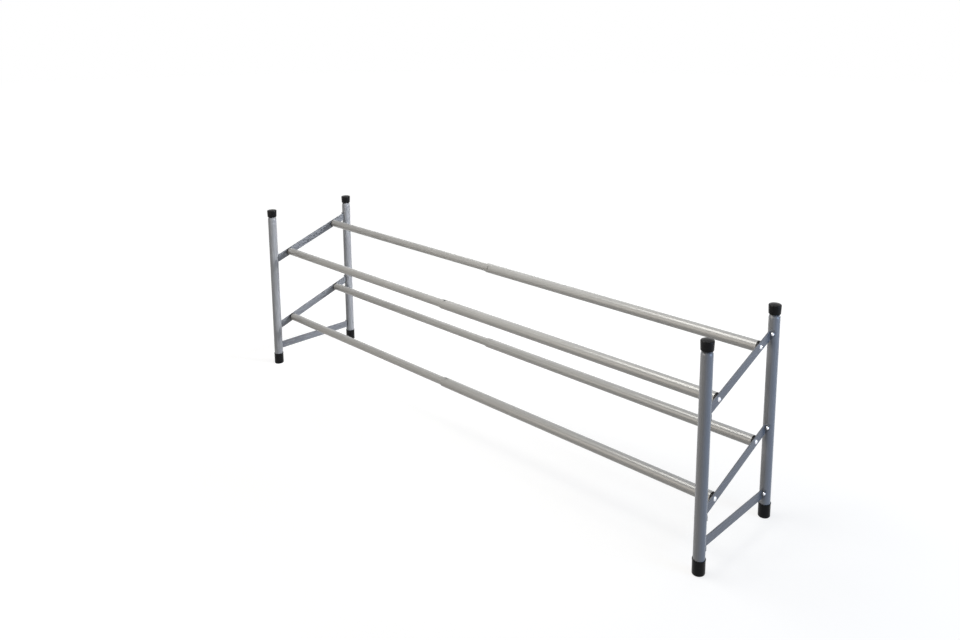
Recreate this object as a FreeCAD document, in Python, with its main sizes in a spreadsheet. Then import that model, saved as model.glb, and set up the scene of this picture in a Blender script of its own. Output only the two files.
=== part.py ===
import FreeCAD, Part
import math
import os
from dataclasses import dataclass
from types import SimpleNamespace

import Sketcher
from FreeCAD import Vector

# Pull out shoe rack: two riveted end frames joined by four telescoping pairs of tubes.
# +X runs along the rack to the end that carries the thick tubes, +Y to the rear, +Z up.
# The origin is on the floor, midway between the four posts with the rack pulled out.
# Lengths are in millimetres and angles in degrees.

SIZES = {
    # round posts, closed in to a crown at the top
    "overall_height": 374.0,
    "post_depth": 205.0,
    "post_diameter": 19.0,
    "post_wall": 1.0,
    "crown_radius": 5.5,
    "crown_land": 1.0,
    # moulded top caps
    "cap_height": 17.5,
    "cap_overhang": 1.1,
    "cap_taper": 1.3,
    "cap_dome": 1.2,
    "cap_top_edge": 1.4,
    "cap_base_edge": 2.0,
    "cap_stem_length": 12.0,
    "cap_stem_clearance": 0.1,
    # ferrule feet
    "foot_height": 25.0,
    "foot_wall": 0.7,
    "foot_floor": 3.0,
    "foot_edge": 2.2,
    "foot_lip": 0.3,
    "foot_lip_height": 1.4,
    "foot_clearance": 0.1,
    # flat bar of the rails and braces, its ends bent round the posts
    "flat_width": 16.0,
    "flat_thickness": 2.0,
    "bar_inset": 1.5,
    "bend_radius": 1.0,
    "seat_clearance": 0.1,
    "tab_reach": 3.4,
    "tab_corner_radius": 11.0,
    # levels of the bars
    "upper_rail_drop": 47.6,
    "lower_rail_height": 90.0,
    "rail_rise": 74.4,
    "brace_height": 43.0,
    # blind rivets
    "rivet_turn": 16.5,
    "rivet_offset": 3.0,
    "rivet_diameter": 3.2,
    "rivet_head_diameter": 5.4,
    "rivet_head_height": 1.5,
    "rivet_tail_diameter": 4.4,
    "rivet_tail_length": 2.6,
    "rivet_clearance": 0.05,
    # telescoping tubes
    "tube_inset": 40.5,
    "inner_tube_diameter": 16.0,
    "tube_wall": 0.8,
    "tube_gap": 0.7,
    "outer_tube_length": 612.5,
    "closed_mouth_gap": 1.0,
    "closed_end_gap": 18.8,
    # lanced stop slots and tongues near each mouth
    "slot_from_mouth": 7.3,
    "slot_width": 3.4,
    "slot_length": 7.4,
    "tongue_width": 1.2,
    "tongue_sweep": 44.0,
    "tongue_clearance": 0.12,
    "upper_rear_slot_turn": 60.0,
    "upper_front_slot_turn": 15.0,
    "lower_rear_slot_turn": 0.0,
    "lower_front_slot_turn": 5.0,
    # guide bushes on the hidden ends of the inner tubes
    "bush_length": 30.0,
    "bush_end_wall": 2.0,
    "bush_vent": 8.0,
    "bush_clearance": 0.07,
    "stop_gap": 0.3,
    # end plugs
    "plug_flange": 3.0,
    "plug_spigot": 16.0,
    "plug_lead": 1.0,
    "plug_clearance": 0.1,
    # tube screws
    "screw_diameter": 4.0,
    "screw_head_diameter": 8.0,
    "screw_head_height": 2.6,
    "screw_length": 18.0,
    "screw_point": 2.5,
    "screw_clearance": 0.05,
    "screw_hole_clearance": 0.2,
}


@dataclass(frozen=True)
class Size:
    """A dimension: its expression on the sheet, and what that comes to."""

    formula: str
    amount: float

    def __add__(self, other):
        other = as_size(other)
        return Size(f"({self.formula} + {other.formula})", self.amount + other.amount)

    def __sub__(self, other):
        other = as_size(other)
        return Size(f"({self.formula} - {other.formula})", self.amount - other.amount)

    def __mul__(self, other):
        other = as_size(other)
        return Size(f"({self.formula} * {other.formula})", self.amount * other.amount)

    def __truediv__(self, other):
        other = as_size(other)
        return Size(f"({self.formula} / {other.formula})", self.amount / other.amount)

    def __rmul__(self, factor):
        return as_size(factor) * self

    def __neg__(self):
        return -1 * self


def as_size(value):
    """A plain number as a size. A size stays as it is."""
    return value if isinstance(value, Size) else Size(str(value), float(value))


def root(square):
    """The square root of a size."""
    return Size(f"sqrt({square.formula})", math.sqrt(square.amount))


def sine(angle):
    """The sine of a size that is an angle."""
    return Size(f"sin({angle.formula})", math.sin(math.radians(angle.amount)))


def cosine(angle):
    """The cosine of a size that is an angle."""
    return Size(f"cos({angle.formula})", math.cos(math.radians(angle.amount)))


def other_leg(hypotenuse, leg):
    """The second short side of a right triangle."""
    return root(hypotenuse * hypotenuse - leg * leg)


def dome_radius(half_width, height):
    """The radius of a dome of the given half width and height."""
    return (half_width * half_width + height * height) / (2 * height)


s = SimpleNamespace(**{name: Size(f"sizes.{name}", value) for name, value in SIZES.items()})

# Posts, and the two faces of the tabs that are bent round them, from the post's axis.
POST_RADIUS = s.post_diameter / 2
POST_BORE = POST_RADIUS - s.post_wall
POST_TOP = s.overall_height - s.cap_height
CROWN_EDGE = POST_RADIUS - s.crown_radius
CROWN_BORE = CROWN_EDGE - s.crown_land
TAB_INSIDE = POST_RADIUS + s.seat_clearance
TAB_OUTSIDE = TAB_INSIDE + s.flat_thickness

# The two faces of the bars along X, from the post's axis.
BAR_INSIDE = -s.bar_inset - s.flat_thickness / 2
BAR_OUTSIDE = s.flat_thickness / 2 - s.bar_inset

# Tubes, by radius, and the stop: how deep in the outer tube it stands.
INNER_TUBE = s.inner_tube_diameter / 2
INNER_TUBE_BORE = INNER_TUBE - s.tube_wall
OUTER_TUBE_BORE = INNER_TUBE + s.tube_gap
OUTER_TUBE = OUTER_TUBE_BORE + s.tube_wall
TONGUE_START = s.slot_from_mouth + s.slot_width
STOP_DEPTH = TONGUE_START + s.tongue_width + s.stop_gap

# How far the rack pulls out, and the spacing of its posts along X when it has.
STROKE = s.outer_tube_length - STOP_DEPTH - s.bush_length - s.plug_spigot - s.closed_end_gap
CLOSED_SPACING = s.outer_tube_length + s.closed_mouth_gap + 2 * (s.plug_flange - BAR_INSIDE)
HALF_LENGTH = (CLOSED_SPACING + STROKE) / 2
HALF_DEPTH = s.post_depth / 2
TUBE_OFFSET = HALF_DEPTH - s.tube_inset

# Places along X, from the middle of the rack.
RAIL_INSIDE = HALF_LENGTH + BAR_INSIDE
RAIL_OUTSIDE = HALF_LENGTH + BAR_OUTSIDE
TUBE_END = RAIL_INSIDE - s.plug_flange
MOUTH = TUBE_END - s.outer_tube_length
BUSH_START = MOUTH + STOP_DEPTH
INNER_TUBE_END = BUSH_START + s.bush_length - s.bush_end_wall

SIDES = {"left": -1, "right": 1}
ENDS = {"front": -1, "rear": 1}
LEFT_TURN = 1
RIGHT_TURN = -1


@dataclass(frozen=True)
class Bar:
    """A flat bar of the end frames, by the height of its centre line at either post."""

    name: str
    front_height: Size
    rear_height: Size

    @property
    def rise(self):
        """How much higher the rear end is."""
        return self.rear_height - self.front_height

    def height_at(self, y):
        """The height of the centre line at a distance y behind the middle."""
        return self.front_height + self.rise * ((y + HALF_DEPTH) / s.post_depth)


UPPER_RAIL_TOP = s.overall_height - s.upper_rail_drop
UPPER_RAIL = Bar("upper_rail", UPPER_RAIL_TOP - s.rail_rise, UPPER_RAIL_TOP)
LOWER_RAIL = Bar("lower_rail", s.lower_rail_height, s.lower_rail_height + s.rail_rise)
BOTTOM_BRACE = Bar("bottom_brace", s.brace_height, s.brace_height)
BARS = (UPPER_RAIL, LOWER_RAIL, BOTTOM_BRACE)


@dataclass(frozen=True)
class TubePair:
    """An outer and an inner tube: the rail that carries them and how the stop is turned."""

    name: str
    rail: Bar
    end: str
    slot_turn: Size

    @property
    def y(self):
        """How far the tubes' axis lies behind the middle."""
        return ENDS[self.end] * TUBE_OFFSET

    def spot(self, x):
        """The point of the tubes' axis at x."""
        return x, self.y, self.rail.height_at(self.y)


TUBE_PAIRS = (
    TubePair("upper_rear", UPPER_RAIL, "rear", s.upper_rear_slot_turn),
    TubePair("upper_front", UPPER_RAIL, "front", s.upper_front_slot_turn),
    TubePair("lower_rear", LOWER_RAIL, "rear", s.lower_rear_slot_turn),
    TubePair("lower_front", LOWER_RAIL, "front", s.lower_front_slot_turn),
)


def make_sheet(doc):
    """Writes the driving dimensions to the sheet, one alias for each."""
    sheet = doc.addObject("Spreadsheet::Sheet", "sizes")
    for row, (alias, size) in enumerate(SIZES.items(), start=1):
        sheet.set(f"A{row}", alias)
        sheet.set(f"B{row}", str(size))
        sheet.setAlias(f"B{row}", alias)
    doc.recompute()


@dataclass(frozen=True)
class Corner:
    """A corner of an outline. With a radius, an arc leads to it from the corner before."""

    x: Size
    y: Size
    radius: Size | None = None
    turn: int = 0

    @property
    def point(self):
        """Where the corner is now."""
        return Vector(as_size(self.x).amount, as_size(self.y).amount, 0)


def arc_between(start, end, radius, turn):
    """The arc from start to end, no longer than a half circle."""
    chord = end - start
    half = chord.Length / 2
    aside = Vector(-chord.y, chord.x, 0).normalize() * turn
    centre = (start + end) / 2 + aside * math.sqrt(max(radius**2 - half**2, 0))
    first, last = (start, end) if turn == LEFT_TURN else (end, start)
    begin = math.atan2(first.y - centre.y, first.x - centre.x)
    finish = math.atan2(last.y - centre.y, last.x - centre.x)
    if finish <= begin:
        finish += 2 * math.pi
    return Part.ArcOfCircle(Part.Circle(centre, Vector(0, 0, 1), radius), begin, finish)


def bind(sketch, constraint, size):
    """Adds a dimension to the sketch and binds it to its expression."""
    index = sketch.addConstraint(constraint)
    sketch.setExpression(f"Constraints[{index}]", size.formula)


def pin(sketch, edge, end, corner):
    """Fixes one end of an edge at the corner, on an axis where a coordinate is zero."""
    for kind, axis, size in (("DistanceX", -2, corner.x), ("DistanceY", -1, corner.y)):
        if isinstance(size, Size):
            distance = Sketcher.Constraint(kind, -1, 1, edge, end, size.amount)
            bind(sketch, distance, size)
        else:
            sketch.addConstraint(Sketcher.Constraint("PointOnObject", edge, end, axis))


def trace(sketch, corners):
    """Draws a closed outline through the corners and binds each of them to the sheet."""
    runs = []
    for before, corner in zip(corners[-1:] + corners[:-1], corners):
        if corner.radius is None:
            line = Part.LineSegment(before.point, corner.point)
            runs.append((sketch.addGeometry(line), 1, 2))
            continue
        arc = arc_between(before.point, corner.point, corner.radius.amount, corner.turn)
        ends = (1, 2) if corner.turn == LEFT_TURN else (2, 1)
        runs.append((sketch.addGeometry(arc), *ends))
    for (last_edge, _, last_end), (edge, start, _) in zip(runs[-1:] + runs[:-1], runs):
        sketch.addConstraint(Sketcher.Constraint("Coincident", last_edge, last_end, edge, start))
    for (edge, _, end), corner in zip(runs, corners):
        pin(sketch, edge, end, corner)
        if corner.radius is not None:
            bind(sketch, Sketcher.Constraint("Radius", edge, corner.radius.amount), corner.radius)


def outline(body, name, plane, corners):
    """A closed sketch on one of the body's own origin planes."""
    sketch = body.newObject("Sketcher::SketchObject", f"{body.Name}_{name}")
    origin_plane = [f for f in body.Origin.OriginFeatures if f.Role == plane][0]
    sketch.AttachmentSupport = [(origin_plane, "")]
    sketch.MapMode = "FlatFace"
    trace(sketch, corners)
    return sketch


def turned(doc, name, axis, corners):
    """A turned piece: a half section on XZ, spun about X (H_Axis) or Z (V_Axis)."""
    body = doc.addObject("PartDesign::Body", name)
    section = outline(body, "section", "XZ_Plane", corners)
    spin = body.newObject("PartDesign::Revolution", f"{name}_spin")
    spin.Profile = section
    spin.ReferenceAxis = (section, [axis])
    spin.Angle = 360
    return body


def padded(doc, name, plane, corners, length):
    """A plate or prism: an outline padded evenly to both sides of its plane."""
    body = doc.addObject("PartDesign::Body", name)
    profile = outline(body, "outline", plane, corners)
    pad = body.newObject("PartDesign::Pad", f"{name}_pad")
    pad.Profile = profile
    pad.Midplane = True
    pad.setExpression("Length", length.formula)
    return body


def place(piece, spot, turn=0, roll=0, tilt=0):
    """Puts a piece at a spot, rolled about its X, tilted about its Y, then turned about Z."""
    x, y, z = [as_size(distance).formula for distance in spot]
    turn, roll, tilt = [as_size(angle).formula for angle in (turn, roll, tilt)]
    turns = f"rotation(vector(0; 0; 1); {turn})"
    turns += f" * rotation(vector(0; 1; 0); {tilt})"
    turns += f" * rotation(vector(1; 0; 0); {roll})"
    piece.setExpression("Placement", f"placement(vector({x}; {y}; {z}); {turns})")


def drill(doc, name, radius, length, spot, turn=0):
    """A cylinder that starts at the spot and runs along X, turned about Z."""
    cylinder = doc.addObject("Part::Cylinder", name)
    cylinder.setExpression("Radius", radius.formula)
    cylinder.setExpression("Height", length.formula)
    place(cylinder, spot, turn=turn, tilt=90)
    return cylinder


def cut(doc, name, base, tools):
    """The base piece less all the tools."""
    union = doc.addObject("Part::MultiFuse", f"{name}_tools")
    union.Shapes = tools
    result = doc.addObject("Part::Cut", name)
    result.Base = base
    result.Tool = union
    return result


def grouped(doc, name, pieces):
    """Like fasteners as one node of separate solids."""
    group = doc.addObject("Part::Compound", name)
    group.Links = pieces
    return group


def post_spot(side, end, height=0):
    """The point of a post's axis at a height."""
    return SIDES[side] * HALF_LENGTH, ENDS[end] * HALF_DEPTH, height


def rivet_turn(side, end):
    """Which way a post's rivets point: from facing the other post, away from the shelves."""
    facing = as_size(-90 * ENDS[end])
    return facing + SIDES[side] * ENDS[end] * s.rivet_turn


def rivet_height(bar, end):
    """The height of a rivet: above the bar's centre line at the rear, below it at the front."""
    centre = bar.height_at(ENDS[end] * (HALF_DEPTH - TAB_OUTSIDE * cosine(s.rivet_turn)))
    return centre + ENDS[end] * s.rivet_offset


def make_post(doc, side, end):
    """A round tube with its top closed in to a rounded crown, bored for its three rivets."""
    name = f"{side}_{end}_post"
    shoulder = POST_TOP - s.crown_radius
    underside = POST_TOP - s.post_wall
    tube = turned(doc, f"{name}_tube", "V_Axis", [
        Corner(POST_RADIUS, s.foot_floor),
        Corner(POST_RADIUS, shoulder),
        Corner(CROWN_EDGE, POST_TOP, s.crown_radius, LEFT_TURN),
        Corner(CROWN_BORE, POST_TOP),
        Corner(CROWN_BORE, underside),
        Corner(CROWN_EDGE, underside),
        Corner(POST_BORE, shoulder, s.crown_radius - s.post_wall, RIGHT_TURN),
        Corner(POST_BORE, s.foot_floor),
    ])
    place(tube, post_spot(side, end))
    radius = s.rivet_diameter / 2 + s.rivet_clearance
    holes = []
    for bar in BARS:
        spot = post_spot(side, end, rivet_height(bar, end))
        hole_name = f"{name}_{bar.name}_hole"
        holes.append(drill(doc, hole_name, radius, TAB_OUTSIDE, spot, rivet_turn(side, end)))
    return cut(doc, name, tube, holes)


def make_cap(doc, side, end):
    """A moulded cap, flared to a domed top, whose stem plugs the crown of the post."""
    top = POST_RADIUS + s.cap_overhang
    base = top - s.cap_taper
    rim = top - s.cap_top_edge
    brow = s.cap_height - s.cap_dome
    stem = CROWN_BORE - s.cap_stem_clearance
    cap = turned(doc, f"{side}_{end}_top_cap", "V_Axis", [
        Corner(0, -s.cap_stem_length),
        Corner(stem, -s.cap_stem_length),
        Corner(stem, 0),
        Corner(base - s.cap_base_edge, 0),
        Corner(base, s.cap_base_edge, s.cap_base_edge, LEFT_TURN),
        Corner(top, brow - s.cap_top_edge),
        Corner(rim, brow, s.cap_top_edge, LEFT_TURN),
        Corner(0, s.cap_height, dome_radius(rim, s.cap_dome), LEFT_TURN),
    ])
    place(cap, post_spot(side, end, POST_TOP))
    return cap


def make_foot(doc, side, end):
    """A ferrule over the foot of the post, lipped at the top and rounded at the floor."""
    socket = POST_RADIUS + s.foot_clearance
    radius = socket + s.foot_wall
    lip = radius + s.foot_lip
    lip_start = s.foot_height - s.foot_lip_height
    foot = turned(doc, f"{side}_{end}_foot", "V_Axis", [
        Corner(0, 0),
        Corner(radius - s.foot_edge, 0),
        Corner(radius, s.foot_edge, s.foot_edge, LEFT_TURN),
        Corner(radius, lip_start),
        Corner(lip, lip_start),
        Corner(lip, s.foot_height),
        Corner(socket, s.foot_height),
        Corner(socket, s.foot_floor),
        Corner(0, s.foot_floor),
    ])
    place(foot, post_spot(side, end))
    return foot


def tab_tip(radius):
    """Where a face of the tab ends, cut off square beyond the rivet."""
    along = other_leg(radius, s.tab_reach)
    x = along * sine(s.rivet_turn) + s.tab_reach * cosine(s.rivet_turn)
    return x, HALF_DEPTH - along * cosine(s.rivet_turn) + s.tab_reach * sine(s.rivet_turn)


def bar_plan():
    """The bent strip from above: a straight web whose ends curl outward round the posts."""
    bend_x = BAR_OUTSIDE + s.bend_radius
    bend_reach = TAB_OUTSIDE + s.bend_radius
    bend_drop = other_leg(bend_reach, bend_x)
    web_end = HALF_DEPTH - bend_drop
    outer_bend = s.bend_radius + s.flat_thickness

    def on_bend(radius):
        """Where a face of the tab leaves the bend."""
        return radius * bend_x / bend_reach, HALF_DEPTH - radius * bend_drop / bend_reach

    outer_x, outer_y = on_bend(TAB_OUTSIDE)
    inner_x, inner_y = on_bend(TAB_INSIDE)
    outer_tip_x, outer_tip_y = tab_tip(TAB_OUTSIDE)
    inner_tip_x, inner_tip_y = tab_tip(TAB_INSIDE)
    return [
        Corner(BAR_OUTSIDE, -web_end, s.bend_radius, RIGHT_TURN),
        Corner(BAR_OUTSIDE, web_end),
        Corner(outer_x, outer_y, s.bend_radius, RIGHT_TURN),
        Corner(outer_tip_x, outer_tip_y, TAB_OUTSIDE, LEFT_TURN),
        Corner(inner_tip_x, inner_tip_y),
        Corner(inner_x, inner_y, TAB_INSIDE, RIGHT_TURN),
        Corner(BAR_INSIDE, web_end, outer_bend, LEFT_TURN),
        Corner(BAR_INSIDE, -web_end),
        Corner(inner_x, -inner_y, outer_bend, LEFT_TURN),
        Corner(inner_tip_x, -inner_tip_y, TAB_INSIDE, RIGHT_TURN),
        Corner(outer_tip_x, -outer_tip_y),
        Corner(outer_x, -outer_y, TAB_OUTSIDE, LEFT_TURN),
    ]


def bar_band(bar):
    """The strip from the end of the rack: a band that climbs from post to post."""
    slant = root(s.post_depth * s.post_depth + bar.rise * bar.rise)
    half = s.flat_width / 2 * slant / s.post_depth
    return [
        Corner(-HALF_DEPTH, bar.front_height - half),
        Corner(HALF_DEPTH, bar.rear_height - half),
        Corner(HALF_DEPTH, bar.rear_height + half),
        Corner(-HALF_DEPTH, bar.front_height + half),
    ]


def corner_waste():
    """What rounds a tab's lower corner, seen from the front and from the rivet's height."""
    radius = s.tab_corner_radius
    tip, _ = tab_tip(TAB_OUTSIDE)
    drop = other_leg(radius, radius - (tip - BAR_OUTSIDE))
    beyond = tip + radius
    return [
        Corner(BAR_OUTSIDE, -2 * radius),
        Corner(beyond, -2 * radius),
        Corner(beyond, 0),
        Corner(tip, 0),
        Corner(BAR_OUTSIDE, -drop, radius, RIGHT_TURN),
    ]


def make_bar(doc, bar):
    """A rail or brace of the right frame: bent flat bar, each riveted tab with a round corner."""
    name = f"right_{bar.name}"
    through = 2 * (s.overall_height + bar.rear_height)
    plan = padded(doc, f"{name}_plan", "XY_Plane", bar_plan(), through)
    band = padded(doc, f"{name}_band", "YZ_Plane", bar_band(bar), 4 * TAB_OUTSIDE)
    place(plan, (HALF_LENGTH, 0, 0))
    place(band, (HALF_LENGTH, 0, 0))
    strip = doc.addObject("Part::MultiCommon", f"{name}_strip")
    strip.Shapes = [plan, band]
    tools = []
    for end in ENDS:
        spot = post_spot("right", end, rivet_height(bar, end))
        turn = rivet_turn("right", end)
        waste = padded(doc, f"{name}_{end}_waste", "XZ_Plane", corner_waste(), 4 * TAB_OUTSIDE)
        place(waste, spot, roll=90 - 90 * ENDS[end])
        tools.append(waste)
        radius = s.rivet_diameter / 2 + s.rivet_clearance
        tools.append(drill(doc, f"{name}_{end}_hole", radius, 2 * TAB_OUTSIDE, spot, turn))
    for pair in TUBE_PAIRS:
        if pair.rail == bar:
            spot = pair.spot(TUBE_END)
            radius = s.screw_diameter / 2 + s.screw_hole_clearance
            length = 2 * (s.plug_flange + s.flat_thickness)
            tools.append(drill(doc, f"{name}_{pair.name}_hole", radius, length, spot))
    return cut(doc, name, strip, tools)


def mirror_bar(doc, right_bar, bar):
    """The left frame's rail or brace, the mirror image of the right one."""
    mirrored = doc.addObject("Part::Mirroring", f"left_{bar.name}")
    mirrored.Source = right_bar
    mirrored.Normal = (1, 0, 0)
    return mirrored


def make_rivets(doc, side):
    """The six blind rivets of one end frame: domed head on the tab, tail inside the post."""
    shank = s.rivet_diameter / 2
    tail = s.rivet_tail_diameter / 2
    head = s.rivet_head_diameter / 2
    seat = TAB_OUTSIDE + s.rivet_clearance
    shoulder = other_leg(POST_BORE, tail) - s.rivet_clearance
    tail_end = shoulder - s.rivet_tail_length
    rivets = []
    for end in ENDS:
        for bar in BARS:
            rivet = turned(doc, f"{side}_{end}_{bar.name}_rivet", "H_Axis", [
                Corner(seat + s.rivet_head_height, 0),
                Corner(seat, head, dome_radius(head, s.rivet_head_height), LEFT_TURN),
                Corner(seat, shank),
                Corner(shoulder, shank),
                Corner(shoulder, tail),
                Corner(tail_end, tail),
                Corner(tail_end, 0),
            ])
            spot = post_spot(side, end, rivet_height(bar, end))
            place(rivet, spot, turn=rivet_turn(side, end))
            rivets.append(rivet)
    return grouped(doc, f"{side}_post_rivets", rivets)


def make_outer_tube(doc, pair):
    """The thick tube of a pair, with two lanced stop slots and tongues near its mouth."""
    name = f"{pair.name}_outer_tube"
    body = turned(doc, name, "H_Axis", [
        Corner(0, OUTER_TUBE_BORE),
        Corner(s.outer_tube_length, OUTER_TUBE_BORE),
        Corner(s.outer_tube_length, OUTER_TUBE),
        Corner(0, OUTER_TUBE),
    ])
    half_slot = s.slot_length / 2
    slot_outline = outline(body, "slot_outline", "XY_Plane", [
        Corner(s.slot_from_mouth, -half_slot),
        Corner(TONGUE_START, -half_slot),
        Corner(TONGUE_START, half_slot),
        Corner(s.slot_from_mouth, half_slot),
    ])
    slots = body.newObject("PartDesign::Pocket", f"{name}_slots")
    slots.Profile = slot_outline
    slots.Midplane = True
    slots.setExpression("Length", (4 * OUTER_TUBE).formula)
    tongue_face = INNER_TUBE + s.tongue_clearance
    tongue_root = OUTER_TUBE_BORE + s.tube_wall / 2
    tongue_section = outline(body, "tongue_section", "XZ_Plane", [
        Corner(TONGUE_START, tongue_face),
        Corner(TONGUE_START + s.tongue_width, tongue_face),
        Corner(TONGUE_START + s.tongue_width, tongue_root),
        Corner(TONGUE_START, tongue_root),
    ])
    tongue = body.newObject("PartDesign::Revolution", f"{name}_tongue")
    tongue.Profile = tongue_section
    tongue.ReferenceAxis = (tongue_section, ["H_Axis"])
    tongue.Midplane = True
    tongue.setExpression("Angle", s.tongue_sweep.formula)
    tongues = body.newObject("PartDesign::PolarPattern", f"{name}_tongues")
    tongues.Originals = [tongue]
    tongues.Axis = (tongue_section, ["H_Axis"])
    tongues.Angle = 360
    tongues.Occurrences = 2
    body.Tip = tongues
    place(body, pair.spot(MOUTH), roll=pair.slot_turn)
    return body


def make_inner_tube(doc, pair):
    """The thin tube of a pair, from the left end plug to its guide bush."""
    length = INNER_TUBE_END + TUBE_END
    body = turned(doc, f"{pair.name}_inner_tube", "H_Axis", [
        Corner(0, INNER_TUBE_BORE),
        Corner(length, INNER_TUBE_BORE),
        Corner(length, INNER_TUBE),
        Corner(0, INNER_TUBE),
    ])
    place(body, pair.spot(-TUBE_END))
    return body


def make_bush(doc, pair):
    """A moulded cup over the hidden end of the inner tube: it guides, and meets the tongues."""
    socket = INNER_TUBE + s.bush_clearance
    radius = OUTER_TUBE_BORE - s.bush_clearance
    vent = s.bush_vent / 2
    wall_start = s.bush_length - s.bush_end_wall
    body = turned(doc, f"{pair.name}_guide_bush", "H_Axis", [
        Corner(0, socket),
        Corner(wall_start, socket),
        Corner(wall_start, vent),
        Corner(s.bush_length, vent),
        Corner(s.bush_length, radius),
        Corner(0, radius),
    ])
    place(body, pair.spot(BUSH_START))
    return body


def make_plug(doc, side, pair):
    """An end plug: a flange between tube and rail, and a spigot bored for the screw."""
    flange, tube_bore = {
        "left": (INNER_TUBE, INNER_TUBE_BORE),
        "right": (OUTER_TUBE, OUTER_TUBE_BORE),
    }[side]
    spigot = tube_bore - s.plug_clearance
    length = s.plug_flange + s.plug_spigot
    bore = s.screw_diameter / 2 + s.screw_clearance
    body = turned(doc, f"{side}_{pair.name}_plug", "H_Axis", [
        Corner(0, bore),
        Corner(length, bore),
        Corner(length, spigot - s.plug_lead),
        Corner(length - s.plug_lead, spigot),
        Corner(s.plug_flange, spigot),
        Corner(s.plug_flange, flange),
        Corner(0, flange),
    ])
    place(body, pair.spot(SIDES[side] * RAIL_INSIDE), turn=90 + 90 * SIDES[side])
    return body


def make_screws(doc, side):
    """The four domed screws that hold the tubes' plugs to the rails of one frame."""
    shank = s.screw_diameter / 2
    head = s.screw_head_diameter / 2
    dome = dome_radius(head, s.screw_head_height)
    screws = []
    for pair in TUBE_PAIRS:
        screw = turned(doc, f"{side}_{pair.name}_screw", "H_Axis", [
            Corner(s.screw_length, 0),
            Corner(s.screw_length - s.screw_point, shank),
            Corner(0, shank),
            Corner(0, head),
            Corner(-s.screw_head_height, 0, dome, LEFT_TURN),
        ])
        place(screw, pair.spot(SIDES[side] * RAIL_OUTSIDE), turn=90 + 90 * SIDES[side])
        screws.append(screw)
    return grouped(doc, f"{side}_tube_screws", screws)


def make_rack(doc):
    """Every node of the rack."""
    nodes = []
    for side in SIDES:
        for end in ENDS:
            nodes += [make(doc, side, end) for make in (make_post, make_cap, make_foot)]
        nodes += [make_rivets(doc, side), make_screws(doc, side)]
        nodes += [make_plug(doc, side, pair) for pair in TUBE_PAIRS]
    for bar in BARS:
        right_bar = make_bar(doc, bar)
        nodes += [right_bar, mirror_bar(doc, right_bar, bar)]
    for pair in TUBE_PAIRS:
        nodes += [make(doc, pair) for make in (make_outer_tube, make_inner_tube, make_bush)]
    return nodes


def check_states(doc):
    """Stops if any object of the document failed to build."""
    for item in doc.Objects:
        if "Invalid" in item.State or "Error" in item.State:
            raise RuntimeError(f"{item.Label} failed: {item.State}")


def check_solids(nodes):
    """Stops if any node is empty or unsound."""
    for node in nodes:
        if node.Shape.isNull() or not node.Shape.isValid() or not node.Shape.Solids:
            raise RuntimeError(f"{node.Label} has no sound solid")


def check_volumes(doc):
    """Stops if a hole or slot took nothing away, or a tongue added nothing."""
    for item in doc.Objects:
        volume = item.Shape.Volume if hasattr(item, "Shape") else 0
        if item.TypeId == "Part::Cut" and volume >= item.Base.Shape.Volume:
            raise RuntimeError(f"{item.Label} lost nothing to its holes")
        if item.TypeId == "PartDesign::Pocket" and volume >= item.BaseFeature.Shape.Volume:
            raise RuntimeError(f"{item.Label} cut nothing")
        if item.TypeId == "PartDesign::PolarPattern" and volume <= item.BaseFeature.Shape.Volume:
            raise RuntimeError(f"{item.Label} added nothing")


def main():
    """Builds the rack and writes one STEP file for each node."""
    doc = FreeCAD.newDocument("shoe_rack")
    make_sheet(doc)
    nodes = make_rack(doc)
    doc.recompute()
    check_states(doc)
    check_solids(nodes)
    check_volumes(doc)
    os.makedirs("parts", exist_ok=True)
    for node in nodes:
        node.Shape.exportStep(f"parts/{node.Label}.step")
    print(f"{len(nodes)} nodes, pull out {STROKE.amount:.2f}, posts {2 * HALF_LENGTH.amount:.2f} apart")


main()
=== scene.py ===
"""The looks of a pull out shoe rack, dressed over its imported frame.

Two riveted end frames carry four telescoping pairs of tubes. +X runs along the rack to
the end with the thick tubes, +Y to the rear and +Z up. The pieces' sizes are in
millimetres. The finishes and the studio are laid out in metres.
"""

import logging
import math
from dataclasses import dataclass, field
from enum import Enum

import bmesh
import bpy
from mathutils import Euler, Matrix, Quaternion, Vector


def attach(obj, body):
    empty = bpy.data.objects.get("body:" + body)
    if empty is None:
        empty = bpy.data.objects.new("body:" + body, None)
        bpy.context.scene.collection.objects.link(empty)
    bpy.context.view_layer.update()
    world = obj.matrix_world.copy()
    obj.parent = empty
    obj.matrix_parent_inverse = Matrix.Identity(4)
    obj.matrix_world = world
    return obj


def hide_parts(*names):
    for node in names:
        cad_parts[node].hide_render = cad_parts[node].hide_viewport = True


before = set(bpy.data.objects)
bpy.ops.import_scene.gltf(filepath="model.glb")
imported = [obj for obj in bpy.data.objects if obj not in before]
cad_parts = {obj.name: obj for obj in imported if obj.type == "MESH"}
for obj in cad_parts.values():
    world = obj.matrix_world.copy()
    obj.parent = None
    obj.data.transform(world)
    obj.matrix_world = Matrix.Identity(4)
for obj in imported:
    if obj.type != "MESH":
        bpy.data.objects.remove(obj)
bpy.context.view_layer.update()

log = logging.getLogger("shoe_rack")

MM = 0.001
WELD_GAP = 0.001 * MM
SHARP_ANGLE = math.radians(40.0)
NOISE_LOW = 0.3
NOISE_HIGH = 0.7

Colour = tuple[float, float, float]
Point = tuple[float, float, float]
Outline = list[tuple[float, float]]
Socket = bpy.types.NodeSocket


class Slot(Enum):
    """The record's material slots, named for the new pieces."""

    MOULDING = "black_plastic"
    RIVET = "rivet_metal"
    SCREW = "screw_metal"


class Side(Enum):
    """The two end frames, by which way along X they stand."""

    LEFT = -1
    RIGHT = 1

    @property
    def word(self) -> str:
        """The side's word in the names of nodes."""
        return self.name.lower()

    @property
    def body(self) -> str:
        """The body that the side's frame belongs to."""
        return f"{self.word}_frame"


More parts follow.
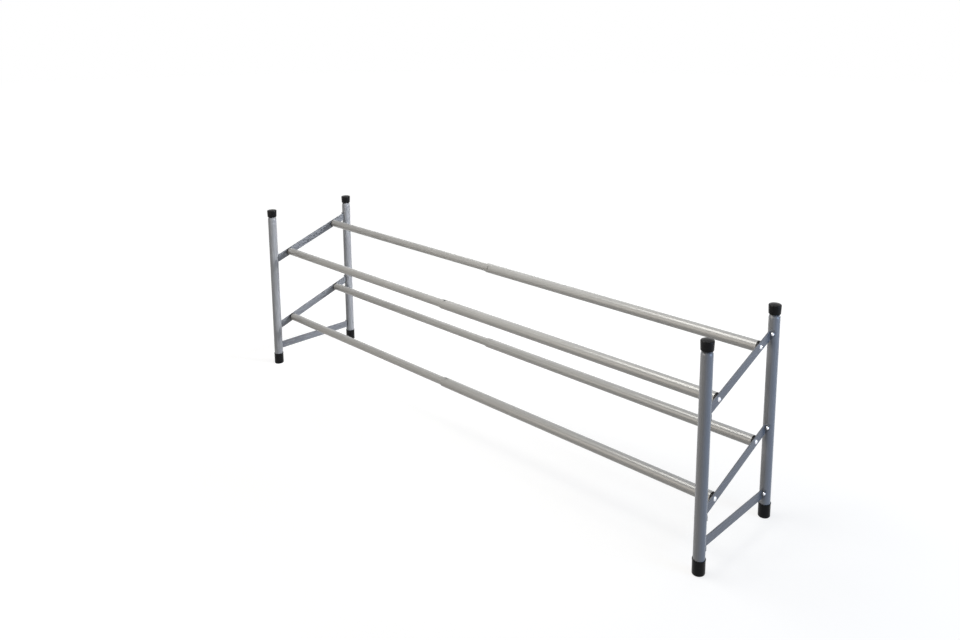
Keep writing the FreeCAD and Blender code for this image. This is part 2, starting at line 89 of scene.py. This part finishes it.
class End(Enum):
    """The two posts of an end frame, by which way along Y they stand."""

    FRONT = -1
    REAR = 1

    @property
    def word(self) -> str:
        """The end's word in the names of nodes."""
        return self.name.lower()


class Level(Enum):
    """The two shelves, by the word in the names of nodes."""

    UPPER = "upper"
    LOWER = "lower"


class Grain(Enum):
    """Which way a steel section's drawing lines run: how much of them X, Y and Z cross."""

    ALONG_RACK = (0.02, 1.0, 1.0)
    UPRIGHT = (1.0, 1.0, 0.02)
    ALONG_RAIL = (1.0, 0.06, 0.4)


class NodeBench:
    """The node tree of one material or world, emptied and ready to be wired."""

    def __init__(self, owner: bpy.types.Material | bpy.types.World) -> None:
        """Empties the owner's node tree.

        Args:
            owner: the material or world to wire.
        """
        owner.use_nodes = True
        self.tree = owner.node_tree
        self.tree.nodes.clear()

    def add(self, kind: str, **settings: object) -> bpy.types.Node:
        """Adds a node.

        Args:
            kind: the node's type, without the words that all shader nodes begin with.
            settings: properties of the node.

        Returns:
            The new node.
        """
        node = self.tree.nodes.new(f"ShaderNode{kind}")
        for name, value in settings.items():
            setattr(node, name, value)
        return node

    def link(self, source: Socket, target: Socket) -> None:
        """Joins an output to an input.

        Args:
            source: the output.
            target: the input.
        """
        self.tree.links.new(source, target)

    def noise(self, size: float, detail: float = 2.0, stretch: Point = (1.0, 1.0, 1.0),
              shift: Point = (0.0, 0.0, 0.0)) -> Socket:
        """A noise that is fixed to the piece.

        Args:
            size: the size of its spots.
            detail: how many finer layers it has.
            stretch: how much of the pattern each axis crosses.
            shift: an offset, so that two noises differ.

        Returns:
            The noise's value, near 0.5.
        """
        place = self.add("TexCoord")
        mapping = self.add("Mapping")
        mapping.inputs["Scale"].default_value = [part / size for part in stretch]
        mapping.inputs["Location"].default_value = shift
        noise = self.add("TexNoise")
        noise.inputs["Scale"].default_value = 1.0
        noise.inputs["Detail"].default_value = detail
        self.link(place.outputs["Object"], mapping.inputs["Vector"])
        self.link(mapping.outputs["Vector"], noise.inputs["Vector"])
        return noise.outputs["Fac"]

    def map_range(self, value: Socket, ends: tuple[float, float, float, float],
                  **settings: object) -> Socket:
        """Maps a value from one range to another.

        Args:
            value: what to map.
            ends: the range that it comes from, then the one that it goes to.
            settings: properties of the node.

        Returns:
            The mapped value.
        """
        node = self.add("MapRange", **settings)
        for socket, number in zip(("From Min", "From Max", "To Min", "To Max"), ends):
            node.inputs[socket].default_value = number
        self.link(value, node.inputs["Value"])
        return node.outputs["Result"]

    def spread(self, value: Socket, low: float, high: float) -> Socket:
        """Spreads the middle of a noise over a range.

        Args:
            value: the noise.
            low: what its low values become.
            high: what its high values become.

        Returns:
            The value within the range.
        """
        return self.map_range(value, (NOISE_LOW, NOISE_HIGH, low, high), clamp=True)

    def blend(self, value: Socket, dark: Colour, light: Colour) -> Socket:
        """Blends two colours by a noise.

        Args:
            value: the noise.
            dark: the colour of its low values.
            light: the colour of its high values.

        Returns:
            The blended colour.
        """
        ramp = self.add("ValToRGB")
        stops = zip(ramp.color_ramp.elements, (NOISE_LOW, NOISE_HIGH), (dark, light))
        for element, place, colour in stops:
            element.position = place
            element.color = (*colour, 1.0)
        self.link(value, ramp.inputs["Fac"])
        return ramp.outputs["Color"]

    def relief(self, height: Socket, depth: float, under: Socket | None = None) -> Socket:
        """Fine relief on the surface.

        Args:
            height: the noise that gives its height.
            depth: how deep it is.
            under: a coarser relief that it lies on.

        Returns:
            The surface normal.
        """
        bump = self.add("Bump")
        bump.inputs["Strength"].default_value = 1.0
        bump.inputs["Distance"].default_value = depth
        self.link(height, bump.inputs["Height"])
        if under is not None:
            self.link(under, bump.inputs["Normal"])
        return bump.outputs["Normal"]

    def surface(self, **uniform: float) -> bpy.types.Node:
        """The main shader, joined to the output.

        Args:
            uniform: values that are the same all over, by the socket's name with underscores.

        Returns:
            The shader node.
        """
        shader = self.add("BsdfPrincipled")
        for name, value in uniform.items():
            shader.inputs[name.replace("_", " ")].default_value = value
        output = self.add("OutputMaterial")
        self.link(shader.outputs["BSDF"], output.inputs["Surface"])
        return shader


def tone(colour: Colour, factor: float) -> Colour:
    """A lighter or darker version of a colour.

    Args:
        colour: the colour.
        factor: how much lighter it gets.

    Returns:
        The new colour.
    """
    return tuple(part * factor for part in colour)


@dataclass(frozen=True)
class SilverPaint:
    """Satin silver stove paint over a drawn steel section."""

    name: str
    colour: Colour
    grain: Grain
    metallic: float = 0.1
    specular: float = 0.5
    roughness: float = 0.27
    roughness_swing: float = 0.012
    tone_swing: float = 0.04
    cloud_size: float = 45 * MM
    flake_size: float = 0.5 * MM
    flake_share: float = 0.25
    line_pitch: float = 1.4 * MM
    line_depth: float = 0.0004 * MM
    peel_size: float = 2.6 * MM
    peel_depth: float = 0.0006 * MM

    def make(self) -> bpy.types.Material:
        """Wires the paint: metal flake, faint clouding, drawing lines and orange peel.

        Returns:
            The material.
        """
        material = bpy.data.materials.new(self.name)
        bench = NodeBench(material)
        shader = bench.surface(Metallic=self.metallic, Specular_IOR_Level=self.specular)
        clouds = bench.noise(self.cloud_size, 3.0)
        flake = bench.noise(self.flake_size, 1.0, shift=(3.1, 7.7, 1.3))
        lines = bench.noise(self.line_pitch, 3.0, stretch=self.grain.value, shift=(9.2, 0.4, 5.6))
        mixed = bench.add("Mix", data_type="FLOAT")
        mixed.inputs["Factor"].default_value = self.flake_share
        bench.link(clouds, mixed.inputs["A"])
        bench.link(flake, mixed.inputs["B"])
        dark = tone(self.colour, 1.0 - self.tone_swing)
        light = tone(self.colour, 1.0 + self.tone_swing)
        colour = bench.blend(mixed.outputs["Result"], dark, light)
        bench.link(colour, shader.inputs["Base Color"])
        roughness = bench.spread(lines, self.roughness - self.roughness_swing,
                                 self.roughness + self.roughness_swing)
        bench.link(roughness, shader.inputs["Roughness"])
        peel = bench.noise(self.peel_size, 1.0, shift=(0.0, 4.2, 8.8))
        under = bench.relief(peel, self.peel_depth)
        bench.link(bench.relief(lines, self.line_depth, under), shader.inputs["Normal"])
        return material


@dataclass(frozen=True)
class BlackMoulding:
    """Black plastic with the fine grain of the mould."""

    name: str
    colour: Colour
    specular: float = 0.13
    roughness: float = 0.28
    roughness_swing: float = 0.05
    dark_tone: float = 0.8
    light_tone: float = 1.25
    flow_size: float = 6 * MM
    grain_size: float = 0.35 * MM
    grain_depth: float = 0.004 * MM

    def make(self) -> bpy.types.Material:
        """Wires the plastic: faint flow clouding and the mould's grain.

        Returns:
            The material.
        """
        material = bpy.data.materials.new(self.name)
        bench = NodeBench(material)
        shader = bench.surface(Specular_IOR_Level=self.specular)
        flow = bench.noise(self.flow_size, 3.0)
        dark, light = tone(self.colour, self.dark_tone), tone(self.colour, self.light_tone)
        bench.link(bench.blend(flow, dark, light), shader.inputs["Base Color"])
        roughness = bench.spread(flow, self.roughness - self.roughness_swing,
                                 self.roughness + self.roughness_swing)
        bench.link(roughness, shader.inputs["Roughness"])
        grain = bench.noise(self.grain_size, 2.0, shift=(5.0, 1.0, 2.0))
        bench.link(bench.relief(grain, self.grain_depth), shader.inputs["Normal"])
        return material


@dataclass(frozen=True)
class BrightMetal:
    """Bare or plated metal with fine scuffs."""

    name: str
    colour: Colour
    roughness: float
    polish: float = 0.05
    wear: float = 0.07
    scuff_tone: float = 0.92
    scuff_size: float = 0.8 * MM
    scuff_depth: float = 0.004 * MM

    def make(self) -> bpy.types.Material:
        """Wires the metal: handling marks in its shine and colour.

        Returns:
            The material.
        """
        material = bpy.data.materials.new(self.name)
        bench = NodeBench(material)
        shader = bench.surface(Metallic=1.0)
        marks = bench.noise(self.scuff_size, 4.0)
        colour = bench.blend(marks, tone(self.colour, self.scuff_tone), self.colour)
        bench.link(colour, shader.inputs["Base Color"])
        roughness = bench.spread(marks, self.roughness - self.polish, self.roughness + self.wear)
        bench.link(roughness, shader.inputs["Roughness"])
        bench.link(bench.relief(marks, self.scuff_depth), shader.inputs["Normal"])
        return material


@dataclass(frozen=True)
class BushPolymer:
    """Natural, waxy white moulding of the guide bushes."""

    name: str
    colour: Colour
    specular: float = 0.4
    smooth: float = 0.38
    rough: float = 0.5
    milk_tone: float = 0.94
    milk_size: float = 4 * MM

    def make(self) -> bpy.types.Material:
        """Wires the polymer: milky clouding and a waxy shine.

        Returns:
            The material.
        """
        material = bpy.data.materials.new(self.name)
        bench = NodeBench(material)
        shader = bench.surface(Specular_IOR_Level=self.specular)
        milk = bench.noise(self.milk_size, 3.0)
        colour = bench.blend(milk, tone(self.colour, self.milk_tone), self.colour)
        bench.link(colour, shader.inputs["Base Color"])
        bench.link(bench.spread(milk, self.smooth, self.rough), shader.inputs["Roughness"])
        return material


Finish = SilverPaint | BlackMoulding | BrightMetal | BushPolymer


class PaintShop:
    """Makes each finish once."""

    # The uprights and the rails take darker, bluer copies of the tubes' silver paint, the rails
    # darkest: painted shade and painted reflection of a dark surround, laid into the base colour.
    frames = SilverPaint("frame_silver_upright", (0.255, 0.265, 0.285), Grain.UPRIGHT)
    rails = SilverPaint("frame_silver_rail", (0.155, 0.165, 0.185), Grain.ALONG_RAIL)
    tubes = SilverPaint("tube_silver_paint", (0.42, 0.42, 0.412), Grain.ALONG_RACK)
    moulding = BlackMoulding("black_moulding", (0.0035, 0.0035, 0.004))
    bushes = BushPolymer("bush_polymer", (0.72, 0.70, 0.64))
    rivets = BrightMetal("bright_aluminium", (0.86, 0.87, 0.89), 0.24)
    screws = BrightMetal("bright_zinc", (0.80, 0.81, 0.84), 0.18)

    def __init__(self) -> None:
        """Starts with nothing mixed."""
        self.made: dict[str, bpy.types.Material] = {}

    def mix(self, finish: Finish) -> bpy.types.Material:
        """Gives the material of a finish.

        Args:
            finish: what to mix.

        Returns:
            The material, the same one each time.
        """
        if finish.name not in self.made:
            self.made[finish.name] = finish.make()
        return self.made[finish.name]

    def paint(self, node: str, finish: Finish) -> None:
        """Paints a node of the frame.

        Args:
            node: the node's name.
            finish: its finish.
        """
        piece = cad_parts[node]
        material = self.mix(finish)
        if not piece.material_slots:
            piece.data.materials.append(material)
        for slot in piece.material_slots:
            slot.material = material
        log.info("painted %s: %s", node, finish.name)


def arc(x: float, out: float, radius: float, begin: float, finish: float, steps: int) -> Outline:
    """Points along an arc of a turned outline.

    Args:
        x: where the arc's centre lies along the axis.
        out: how far the centre lies out from the axis.
        radius: the arc's radius.
        begin: the angle of its first point, from straight out towards the axis's far end.
        finish: the angle of its last point.
        steps: how many edges it has.

    Returns:
        The points, along the axis and out from it.
    """
    angles = [math.radians(begin + (finish - begin) * step / steps) for step in range(steps + 1)]
    return [(x + radius * math.sin(angle), out + radius * math.cos(angle)) for angle in angles]


def dome(base: float, half_width: float, height: float, hole: float, steps: int) -> Outline:
    """Points up a shallow dome, from its edge towards the axis.

    Args:
        base: where the dome starts along the axis.
        half_width: its radius at the base.
        height: how high it would stand at the axis.
        hole: how far from the axis it ends.
        steps: how many edges it has.

    Returns:
        The points, along the axis and out from it.
    """
    radius = (half_width**2 + height**2) / (2 * height)
    begin = math.degrees(math.acos(half_width / radius))
    finish = math.degrees(math.acos(hole / radius))
    return arc(base + height - radius, 0.0, radius, begin, finish, steps)


def turned(outline: Outline, segments: int) -> bmesh.types.BMesh:
    """Turns an outline about X, as on a lathe.

    Args:
        outline: points in millimetres along the axis and out from it.
        segments: how many steps go round.

    Returns:
        The closed shape, in metres.
    """
    work = bmesh.new()
    points = [work.verts.new((x * MM, out * MM, 0.0)) for x, out in outline]
    for first, second in zip(points, points[1:]):
        work.edges.new((first, second))
    bmesh.ops.spin(work, geom=[*work.verts, *work.edges], cent=(0.0, 0.0, 0.0),
                   axis=(1.0, 0.0, 0.0), dvec=(0.0, 0.0, 0.0), angle=math.tau, steps=segments,
                   use_merge=True)
    bmesh.ops.remove_doubles(work, verts=work.verts, dist=WELD_GAP)
    bmesh.ops.recalc_face_normals(work, faces=work.faces)
    return work


def as_mesh(work: bmesh.types.BMesh, name: str) -> bpy.types.Mesh:
    """Keeps a finished shape as a mesh, smooth apart from its sharp edges.

    Args:
        work: the shape, which is freed.
        name: the mesh's name.

    Returns:
        The mesh.
    """
    mesh = bpy.data.meshes.new(name)
    work.to_mesh(mesh)
    work.free()
    mesh.shade_smooth()
    mesh.set_sharp_from_angle(angle=SHARP_ANGLE)
    return mesh


@dataclass(frozen=True)
class Seat:
    """Where a turned piece sits: the start of its axis, the way that points and its turn."""

    spot: Point
    facing: Point
    turn: float = 0.0

    @property
    def matrix(self) -> Matrix:
        """Takes a piece turned about X to its seat."""
        aim = Vector(self.facing).to_track_quat("X", "Z").to_matrix().to_4x4()
        spin = Matrix.Rotation(math.radians(self.turn), 4, "X")
        return Matrix.Translation(Vector(self.spot) * MM) @ aim @ spin


def seated(pattern: bpy.types.Mesh, seats: list[Seat], name: str) -> bpy.types.Object:
    """Puts a copy of a pattern on each seat, as one piece.

    Args:
        pattern: the mesh to repeat, which is removed afterwards.
        seats: where the copies go.
        name: the piece's name.

    Returns:
        The piece.
    """
    work = bmesh.new()
    for seat in seats:
        before = len(work.verts)
        work.from_mesh(pattern)
        work.verts.ensure_lookup_table()
        bmesh.ops.transform(work, matrix=seat.matrix, verts=work.verts[before:])
    piece = bpy.data.objects.new(name, as_mesh(work, name))
    bpy.context.scene.collection.objects.link(piece)
    bpy.data.meshes.remove(pattern)
    return piece


@dataclass(frozen=True)
class TopCap:
    """A moulded cap: slightly flared, rounded at both edges, with a stem in the post's crown."""

    height: float = 17.5
    top_radius: float = 10.59
    base_radius: float = 10.05
    top_edge: float = 2.0
    base_edge: float = 1.5
    rise: float = 1.2
    brow_turn: float = 80.0
    stem_radius: float = 2.9
    stem_length: float = 12.0
    stem_chamfer: float = 0.5
    base_steps: int = 6
    top_steps: int = 8
    segments: int = 64

    def build(self) -> bpy.types.Mesh:
        """Turns the cap.

        Returns:
            The cap, its underside at the origin.
        """
        brow = self.height - self.rise
        rim = self.top_radius - self.top_edge
        chamfer = self.stem_chamfer
        outline = [(-self.stem_length, 0.0), (-self.stem_length, self.stem_radius - chamfer),
                   (chamfer - self.stem_length, self.stem_radius), (0.0, self.stem_radius)]
        outline += arc(self.base_edge, self.base_radius - self.base_edge, self.base_edge,
                       -90.0, 0.0, self.base_steps)
        outline += arc(brow - self.top_edge, rim, self.top_edge, 0.0, self.brow_turn,
                       self.top_steps)
        outline += dome(brow, rim, self.rise, 0.0, self.top_steps)
        return as_mesh(turned(outline, self.segments), "top_cap")


@dataclass(frozen=True)
class BlindRivet:
    """A blind rivet: a domed head round the broken stem, and a tail swollen inside the post."""

    seat: float = 11.65
    head_radius: float = 2.7
    head_height: float = 1.5
    pit_radius: float = 0.95
    pit_depth: float = 0.75
    pit_draft: float = 0.08
    stem_radius: float = 0.72
    stem_height: float = 0.3
    break_height: float = 0.42
    break_inset: float = 0.2
    break_centre: float = 0.38
    shank_radius: float = 1.6
    shoulder: float = 8.16
    shoulder_chamfer: float = 0.3
    tail_radius: float = 2.2
    tail_length: float = 2.6
    tail_chamfer: float = 0.5
    head_steps: int = 7
    segments: int = 32

    def build(self) -> bpy.types.Mesh:
        """Turns the rivet.

        Returns:
            The rivet, the post's axis at the origin.
        """
        pit = self.seat + self.head_height - self.pit_depth
        end = self.shoulder - self.tail_length
        outline = [(end, 0.0),
                   (end, self.tail_radius - self.tail_chamfer),
                   (end + self.tail_chamfer, self.tail_radius),
                   (self.shoulder - self.shoulder_chamfer, self.tail_radius),
                   (self.shoulder, self.tail_radius - self.shoulder_chamfer),
                   (self.shoulder, self.shank_radius),
                   (self.seat, self.shank_radius)]
        outline += dome(self.seat, self.head_radius, self.head_height, self.pit_radius,
                        self.head_steps)
        outline += [(pit, self.pit_radius - self.pit_draft),
                    (pit, self.stem_radius),
                    (pit + self.stem_height, self.stem_radius),
                    (pit + self.break_height, self.stem_radius - self.break_inset),
                    (pit + self.break_centre, 0.0)]
        return as_mesh(turned(outline, self.segments), "rivet")


@dataclass(frozen=True)
class TubeScrew:
    """A domed screw with a cross recess, which draws a tube's plug against the rail."""

    head_radius: float = 4.0
    head_height: float = 2.6
    rim: float = 0.35
    shank_radius: float = 2.0
    length: float = 18.0
    point: float = 2.5
    recess_span: float = 4.6
    recess_width: float = 1.0
    recess_depth: float = 1.5
    recess_overrun: float = 1.0
    foot_span_share: float = 0.38
    foot_width_share: float = 0.45
    head_steps: int = 8
    segments: int = 40

    def recess(self, turn: float) -> bmesh.types.BMesh:
        """One wing of the cross recess: a slab that narrows towards its bottom.

        Args:
            turn: how far the wing is turned about the screw.

        Returns:
            The wing.
        """
        wing = bmesh.new()
        depth = self.recess_depth + self.recess_overrun
        bmesh.ops.create_cube(wing, size=MM)
        middle = self.head_height - self.recess_depth + depth / 2
        bmesh.ops.scale(wing, vec=(depth, self.recess_span, self.recess_width), verts=wing.verts)
        foot = [vert for vert in wing.verts if vert.co.x < 0]
        bmesh.ops.scale(wing, vec=(1.0, self.foot_span_share, self.foot_width_share), verts=foot)
        bmesh.ops.translate(wing, vec=(middle * MM, 0.0, 0.0), verts=wing.verts)
        bmesh.ops.rotate(wing, cent=(0.0, 0.0, 0.0), verts=wing.verts,
                         matrix=Matrix.Rotation(math.radians(turn), 3, "X"))
        return wing

    def build(self) -> bpy.types.Mesh:
        """Turns the screw and cuts its cross recess.

        Returns:
            The screw, the underside of its head at the origin.
        """
        outline = [(-self.length, 0.0), (self.point - self.length, self.shank_radius),
                   (0.0, self.shank_radius), (0.0, self.head_radius)]
        outline += dome(self.rim, self.head_radius, self.head_height - self.rim, 0.0,
                        self.head_steps)
        blank_mesh = as_mesh(turned(outline, self.segments), "screw_blank")
        blank = bpy.data.objects.new("screw_blank", blank_mesh)
        bpy.context.scene.collection.objects.link(blank)
        wings = []
        for turn in (0.0, 90.0):
            wing = bpy.data.objects.new("recess_wing", as_mesh(self.recess(turn), "recess_wing"))
            bpy.context.scene.collection.objects.link(wing)
            cut = blank.modifiers.new("recess", "BOOLEAN")
            cut.operation, cut.solver, cut.object = "DIFFERENCE", "EXACT", wing
            wings.append(wing)
        ready = blank.evaluated_get(bpy.context.evaluated_depsgraph_get())
        screw = bpy.data.meshes.new_from_object(ready)
        for tool in (blank, *wings):
            spent = tool.data
            bpy.data.objects.remove(tool)
            bpy.data.meshes.remove(spent)
        return screw


@dataclass
class EndFrame:
    """One riveted end frame: two posts, two slanted rails, a brace and their fasteners.

    Sizes are in millimetres and angles in degrees. A screw's place is the post that it is
    nearer to, its height and the turn of its recess.
    """

    side: Side
    half_length: float = 580.0
    half_depth: float = 102.5
    post_top: float = 356.5
    rivet_turn: float = 16.5
    front_rivets: tuple[float, ...] = (253.04, 91.04, 40.0)
    rear_rivets: tuple[float, ...] = (325.36, 163.36, 46.0)
    rail_face: float = 579.5
    tube_y: float = 62.0
    screw_places: tuple[tuple[End, float, float], ...] = (
        (End.REAR, 311.7, 18.0), (End.FRONT, 266.7, 62.0),
        (End.REAR, 149.7, 41.0), (End.FRONT, 104.7, 7.0))
    cap: TopCap = field(default_factory=TopCap)
    rivet: BlindRivet = field(default_factory=BlindRivet)
    screw: TubeScrew = field(default_factory=TubeScrew)

    def post(self, end: End, height: float) -> Point:
        """The point of a post's axis at a height.

        Args:
            end: which post.
            height: the height.

        Returns:
            The point.
        """
        return self.side.value * self.half_length, end.value * self.half_depth, height

    def cap_seats(self) -> list[Seat]:
        """The crowns of the two posts."""
        return [Seat(self.post(end, self.post_top), (0.0, 0.0, 1.0)) for end in End]

    def rivet_seats(self) -> list[Seat]:
        """Where the six rivets sit.

        Returns:
            The seats, facing the other post and turned away from the shelves.
        """
        seats = []
        for end, heights in ((End.FRONT, self.front_rivets), (End.REAR, self.rear_rivets)):
            aim = math.radians(end.value * (self.side.value * self.rivet_turn - 90.0))
            facing = (math.cos(aim), math.sin(aim), 0.0)
            seats += [Seat(self.post(end, height), facing) for height in heights]
        return seats

    def screw_seats(self) -> list[Seat]:
        """Where the four screws sit, each with its recess turned its own way.

        Returns:
            The seats, on the outer faces of the rails.
        """
        x = self.side.value * self.rail_face
        facing = (self.side.value, 0.0, 0.0)
        return [Seat((x, end.value * self.tube_y, height), facing, turn)
                for end, height, turn in self.screw_places]

    def fit(self, piece: bpy.types.Object, slot: Slot, material: bpy.types.Material,
            *nodes: str) -> None:
        """Gives a new piece its finish and its place on the frame.

        Args:
            piece: the piece.
            slot: the record's slot that it takes; not used.
            material: its material.
            nodes: the nodes that it stands for.
        """
        piece.data.materials.append(material)
        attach(piece, self.side.body)
        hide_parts(*nodes)
        log.info("built %s: %d faces", piece.name, len(piece.data.polygons))

    def dress(self, shop: PaintShop) -> None:
        """Gives every node of the frame its finish, and makes its caps and fasteners.

        Args:
            shop: where the finishes come from.
        """
        word = self.side.word
        for end in End:
            shop.paint(f"{word}_{end.word}_post", shop.frames)
            shop.paint(f"{word}_{end.word}_foot", shop.moulding)
        for bar in ("upper_rail", "lower_rail", "bottom_brace"):
            shop.paint(f"{word}_{bar}", shop.rails)
        for end, seat in zip(End, self.cap_seats()):
            cap = seated(self.cap.build(), [seat], f"{word}_{end.word}_moulded_cap")
            self.fit(cap, Slot.MOULDING, shop.mix(shop.moulding), f"{word}_{end.word}_top_cap")
        rivets = seated(self.rivet.build(), self.rivet_seats(), f"{word}_blind_rivets")
        self.fit(rivets, Slot.RIVET, shop.mix(shop.rivets), f"{word}_post_rivets")
        screws = seated(self.screw.build(), self.screw_seats(), f"{word}_cross_screws")
        self.fit(screws, Slot.SCREW, shop.mix(shop.screws), f"{word}_tube_screws")


@dataclass
class TubePair:
    """A thick tube, the thin tube that slides in it, and their plugs and bush."""

    level: Level
    end: End

    @property
    def name(self) -> str:
        """The pair's words in the names of nodes."""
        return f"{self.level.value}_{self.end.word}"

    def dress(self, shop: PaintShop) -> None:
        """Gives every node of the pair its finish.

        Args:
            shop: where the finishes come from.
        """
        shop.paint(f"{self.name}_outer_tube", shop.tubes)
        shop.paint(f"{self.name}_inner_tube", shop.tubes)
        shop.paint(f"{self.name}_guide_bush", shop.bushes)
        for side in Side:
            shop.paint(f"{side.word}_{self.name}_plug", shop.moulding)


@dataclass(frozen=True)
class Softbox:
    """A soft studio lamp that faces a point of the rack, its beam held to a spread by a grid."""

    name: str
    spot: Point
    aim: Point
    width: float
    height: float
    watts: float
    tint: Colour = (1.0, 1.0, 1.0)
    spread: float = 180.0

    def hang(self) -> None:
        """Puts the lamp in the scene."""
        data = bpy.data.lights.new(self.name, "AREA")
        data.shape = "RECTANGLE"
        data.size, data.size_y = self.width, self.height
        data.energy = self.watts
        data.color = self.tint
        data.spread = math.radians(self.spread)
        lamp = bpy.data.objects.new(self.name, data)
        lamp.location = self.spot
        lamp.rotation_mode = "QUATERNION"
        lamp.rotation_quaternion = (Vector(self.aim) - Vector(self.spot)).to_track_quat("-Z", "Y")
        lamp.visible_camera = False
        bpy.context.scene.collection.objects.link(lamp)
        log.info("hung %s", self.name)


@dataclass
class Studio:
    """A pale floor, soft lamps, an even white surround and the camera."""

    floor_radius: float = 9.0
    floor_segments: int = 96
    floor_albedo: float = 0.28
    near_glow: float = 0.8
    far_glow: float = 1.0
    ambient: float = 0.03
    glow_inner: float = 0.3
    glow_outer: float = 1.1
    glow_stretch: float = 0.62
    glow_centre: tuple[float, float] = (0.35, -0.2)
    sensor: float = 36.0
    lens: float = 32.864
    shift_x: float = -0.0622
    shift_y: float = -0.1698
    camera_spot: Point = (1.20016, -1.15229, 0.85066)
    yaw: float = 42.054
    pitch: float = -10.077
    roll: float = 0.267
    near_clip: float = 0.05
    far_clip: float = 60.0
    lamps: tuple[Softbox, ...] = (
        Softbox("top_softbox", (0.06, -0.28, 1.15), (0.3, 0.0, 0.2), 0.5, 0.5, 6.4,
                tint=(1.0, 0.98, 0.93)),
        Softbox("rear_softbox", (0.5, 0.2, 1.6), (0.3, 0.0, 0.2), 0.8, 0.6, 5.3),
        Softbox("front_softbox", (-0.2, -1.6, 0.5), (0.4, 0.0, 0.2), 1.4, 0.9, 7.5,
                tint=(1.0, 0.9, 0.78)),
        Softbox("fill_softbox", (1.6, 1.1, 0.9), (-0.6, 0.0, 0.17), 0.5, 0.5, 2.0, spread=26.0),
        Softbox("side_softbox", (2.0, 0.25, 0.5), (0.4, 0.0, 0.2), 0.7, 0.8, 13.5,
                tint=(0.5, 0.68, 1.0)),
    )

    def build(self) -> None:
        """Sets up the floor, the light, the camera and the view."""
        self.lay_floor()
        self.light_world()
        for lamp in self.lamps:
            lamp.hang()
        self.set_camera()
        bpy.context.scene.view_settings.view_transform = "Standard"

    def seen_directly(self, bench: NodeBench) -> Socket:
        """Whether a ray comes from the camera, off a gloss or through glass.

        Args:
            bench: the node tree to wire.

        Returns:
            1 for such a ray, 0 for one that lights a surface.
        """
        path = bench.add("LightPath")
        total = path.outputs["Is Camera Ray"]
        for kind in ("Is Glossy Ray", "Is Transmission Ray"):
            add = bench.add("Math", operation="ADD", use_clamp=True)
            bench.link(total, add.inputs[0])
            bench.link(path.outputs[kind], add.inputs[1])
            total = add.outputs[0]
        return total

    def lay_floor(self) -> None:
        """Lays the floor, white to the eye apart from the rack's soft shadow."""
        work = bmesh.new()
        bmesh.ops.create_circle(work, cap_ends=True, segments=self.floor_segments,
                                radius=self.floor_radius)
        mesh = bpy.data.meshes.new("floor")
        work.to_mesh(mesh)
        work.free()
        floor = bpy.data.objects.new("floor", mesh)
        bpy.context.scene.collection.objects.link(floor)
        material = bpy.data.materials.new("pale_floor")
        bench = NodeBench(material)
        paper = bench.add("BsdfDiffuse")
        paper.inputs["Color"].default_value = (*(self.floor_albedo,) * 3, 1.0)
        glow = bench.add("Emission")
        place = bench.add("TexCoord")
        mapping = bench.add("Mapping")
        mapping.inputs["Scale"].default_value = (self.glow_stretch, 1.0, 1.0)
        x, y = self.glow_centre
        mapping.inputs["Location"].default_value = (-x * self.glow_stretch, -y, 0.0)
        length = bench.add("VectorMath", operation="LENGTH")
        bench.link(place.outputs["Object"], mapping.inputs["Vector"])
        bench.link(mapping.outputs["Vector"], length.inputs[0])
        ends = (self.glow_inner, self.glow_outer, self.near_glow, self.far_glow)
        fade = bench.map_range(length.outputs["Value"], ends, interpolation_type="SMOOTHSTEP")
        seen = bench.add("Math", operation="MULTIPLY")
        bench.link(fade, seen.inputs[0])
        bench.link(self.seen_directly(bench), seen.inputs[1])
        bench.link(seen.outputs[0], glow.inputs["Strength"])
        both = bench.add("AddShader")
        bench.link(paper.outputs["BSDF"], both.inputs[0])
        bench.link(glow.outputs["Emission"], both.inputs[1])
        output = bench.add("OutputMaterial")
        bench.link(both.outputs["Shader"], output.inputs["Surface"])
        mesh.materials.append(material)
        log.info("laid the floor")

    def light_world(self) -> None:
        """Surrounds the rack with white, and lights it with a share of that."""
        world = bpy.data.worlds.new("studio")
        bpy.context.scene.world = world
        bench = NodeBench(world)
        soft = bench.add("Background")
        soft.inputs["Strength"].default_value = self.ambient
        white = bench.add("Background")
        for background in (soft, white):
            background.inputs["Color"].default_value = (1.0, 1.0, 1.0, 1.0)
        mix = bench.add("MixShader")
        bench.link(self.seen_directly(bench), mix.inputs["Fac"])
        bench.link(soft.outputs["Background"], mix.inputs[1])
        bench.link(white.outputs["Background"], mix.inputs[2])
        output = bench.add("OutputWorld")
        bench.link(mix.outputs["Shader"], output.inputs["Surface"])

    def set_camera(self) -> None:
        """Stands the camera at the front right, a little above the rack."""
        data = bpy.data.cameras.new("camera")
        data.sensor_width = self.sensor
        data.lens = self.lens
        data.shift_x, data.shift_y = self.shift_x, self.shift_y
        data.clip_start, data.clip_end = self.near_clip, self.far_clip
        camera = bpy.data.objects.new("camera", data)
        camera.location = self.camera_spot
        camera.rotation_mode = "QUATERNION"
        aim = Euler((math.radians(90.0 + self.pitch), 0.0, math.radians(self.yaw))).to_quaternion()
        camera.rotation_quaternion = aim @ Quaternion((0.0, 0.0, 1.0), math.radians(self.roll))
        bpy.context.scene.collection.objects.link(camera)
        bpy.context.scene.camera = camera


class ShoeRack:
    """The whole rack: two end frames and the four tube pairs between them."""

    def __init__(self) -> None:
        """Lists the sub-assemblies in the order they are dressed."""
        self.frames = [EndFrame(side) for side in Side]
        self.pairs = [TubePair(level, end) for level in Level for end in End]

    def dress(self, shop: PaintShop) -> None:
        """Dresses each sub-assembly.

        Args:
            shop: where the finishes come from.
        """
        for part in (*self.frames, *self.pairs):
            part.dress(shop)


def main() -> None:
    """Dresses the rack and sets up its studio."""
    logging.basicConfig(level=logging.INFO, format="%(message)s")
    ShoeRack().dress(PaintShop())
    Studio().build()


if __name__ == "__main__":
    main()
